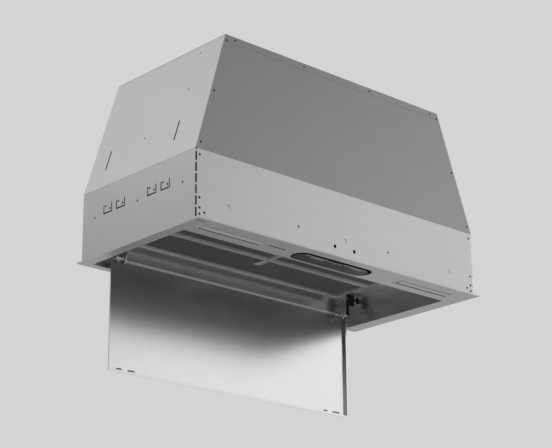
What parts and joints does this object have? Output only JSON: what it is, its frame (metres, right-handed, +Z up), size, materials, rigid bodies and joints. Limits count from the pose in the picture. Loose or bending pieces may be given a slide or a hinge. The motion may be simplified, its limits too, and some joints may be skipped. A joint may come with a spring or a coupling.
{
  "type": "range hood insert",
  "caption": "Built-in range hood insert: steel casing with leaning ends, recessed mesh filters, light bars, control recess, duct collar with flaps, and a swing-down panel.",
  "frame": {"origin": "middle of the casing, on the upper face of the flange that seats against the cabinet's underside", "axes": "+Z up along the airflow to the duct, +X to the right across the front as seen from the room, -Y towards the front with the lights and controls"},
  "size_m": [0.868, 0.418, 0.7383],
  "materials": {
    "casing_steel": "bare ferritic steel sheet, faint rolling lines, soft grey shine",
    "front_steel": "bare steel sheet, darker because it leans back",
    "brushed_steel": "brushed stainless sheet, satin",
    "panel_steel": "brushed stainless sheet, satin, dark at its top",
    "galvanised": "galvanised steel sheet, dull",
    "bright_metal": "bright plated steel",
    "filter_mesh": "layered aluminium mesh, dark between its strands",
    "light_lens": "frosted cover, milky",
    "black_plastic": "black, matte",
    "bar_plastic": "grey, satin",
    "board": "green circuit board",
    "motor_shell": "cast shell, dull"
  },
  "bodies": {
    "casing": {"lower_casing": "casing_steel", "rear_casing": "casing_steel", "bottom_frame": "brushed_steel", "front_panel": "front_steel", "left_end_panel": "casing_steel", "right_end_panel": "casing_steel", "roof": "casing_steel", "casing_rivets": "bright_metal", "filter_deck": "galvanised", "filter_support": "brushed_steel", "light_rail": "brushed_steel", "left_liner": "brushed_steel", "right_liner": "brushed_steel", "rear_liner": "brushed_steel", "liner_screws": "bright_metal", "front_left_filter_frame": "brushed_steel", "front_left_filter_mesh": "filter_mesh", "front_right_filter_frame": "brushed_steel", "front_right_filter_mesh": "filter_mesh", "rear_filter_frame": "brushed_steel", "rear_filter_mesh": "filter_mesh", "left_light_box": "galvanised", "right_light_box": "galvanised", "left_light_lens": "light_lens", "right_light_lens": "light_lens", "sensor_window": "black_plastic", "control_well": "black_plastic", "control_bar": "bar_plastic", "control_board": "board", "left_hanger": "black_plastic", "right_hanger": "black_plastic", "hanger_bolts": "bright_metal", "scroll_housing": "galvanised", "left_inlet_plate": "galvanised", "right_inlet_plate": "galvanised", "outlet_box": "galvanised", "motor": "motor_shell", "motor_bracket": "galvanised", "duct_collar": "galvanised", "collar_screws": "bright_metal", "flap_pin": "bright_metal", "electronics_box": "galvanised", "electronics_lid": "galvanised", "cable_gland": "black_plastic"},
    "panel": {"panel_tray": "panel_steel", "left_panel_arm": "brushed_steel", "right_panel_arm": "brushed_steel", "left_hinge_pin": "bright_metal", "right_hinge_pin": "bright_metal"},
    "wheel": {"blower_wheel": "black_plastic", "motor_shaft": "bright_metal"},
    "front_damper": {"front_flap": "galvanised"},
    "rear_damper": {"rear_flap": "galvanised"},
    "left_key": {"button_left": "bright_metal"},
    "middle_key": {"button_middle": "bright_metal"},
    "right_key": {"button_right": "bright_metal"},
    "front_left_catch": {"front_left_filter_latch": "bright_metal"},
    "front_right_catch": {"front_right_filter_latch": "bright_metal"},
    "rear_catch": {"rear_filter_latch": "bright_metal"}
  },
  "joints": [
    {"name": "panel_hinge", "type": "hinge", "parent": "casing", "child": "panel", "pos_m": [0, 0.1569, 0.0159], "axis": [-1, 0, 0], "range_deg": [0, 90]},
    {"name": "wheel_spin", "type": "hinge", "parent": "casing", "child": "wheel", "pos_m": [0, -0.07, 0.19766], "axis": [1, 0, 0], "continuous": true},
    {"name": "front_damper_hinge", "type": "hinge", "parent": "casing", "child": "front_damper", "pos_m": [0, 0.006, 0.4695], "axis": [-1, 0, 0], "range_deg": [0, 75]},
    {"name": "rear_damper_hinge", "type": "hinge", "parent": "casing", "child": "rear_damper", "pos_m": [0, 0.006, 0.4695], "axis": [1, 0, 0], "range_deg": [0, 75]},
    {"name": "left_key_press", "type": "slide", "parent": "casing", "child": "left_key", "axis": [0, 0, 1], "range_m": [0, 0.001], "stiffness_N_per_m": 500, "springref_m": -0.002},
    {"name": "middle_key_press", "type": "slide", "parent": "casing", "child": "middle_key", "axis": [0, 0, 1], "range_m": [0, 0.001], "stiffness_N_per_m": 500, "springref_m": -0.002},
    {"name": "right_key_press", "type": "slide", "parent": "casing", "child": "right_key", "axis": [0, 0, 1], "range_m": [0, 0.001], "stiffness_N_per_m": 500, "springref_m": -0.002},
    {"name": "front_left_catch_slide", "type": "slide", "parent": "casing", "child": "front_left_catch", "axis": [0, 1, 0], "range_m": [0, 0.006], "stiffness_N_per_m": 400, "springref_m": -0.004},
    {"name": "front_right_catch_slide", "type": "slide", "parent": "casing", "child": "front_right_catch", "axis": [0, 1, 0], "range_m": [0, 0.006], "stiffness_N_per_m": 400, "springref_m": -0.004},
    {"name": "rear_catch_slide", "type": "slide", "parent": "casing", "child": "rear_catch", "axis": [0, 1, 0], "range_m": [0, 0.006], "stiffness_N_per_m": 400, "springref_m": -0.004}
  ]
}
